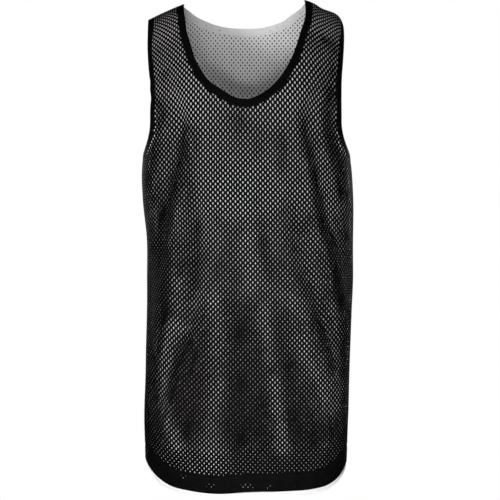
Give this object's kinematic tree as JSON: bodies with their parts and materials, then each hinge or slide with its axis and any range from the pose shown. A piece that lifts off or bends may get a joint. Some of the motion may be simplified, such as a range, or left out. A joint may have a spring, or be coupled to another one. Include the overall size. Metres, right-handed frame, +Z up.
{
  "type": "basketball jersey",
  "caption": "Sleeveless reversible basketball jersey of porthole mesh, in its worn shape with neck, armholes and hem open.",
  "frame": {"origin": "midway between the two straps, at the height of the shoulders that hold the jersey up", "axes": "+Z up along the jersey, -Y out of the chest, -X towards the wearer's right"},
  "size_m": [0.3419, 0.2187, 0.7953],
  "materials": {
    "outer_mesh": "knitted porthole mesh, soft sheen",
    "inner_mesh": "knitted porthole mesh, matte"
  },
  "bodies": {
    "root": {"outer_front": "outer_mesh", "outer_back": "outer_mesh", "inner_front": "inner_mesh", "inner_back": "inner_mesh"}
  },
  "joints": []
}
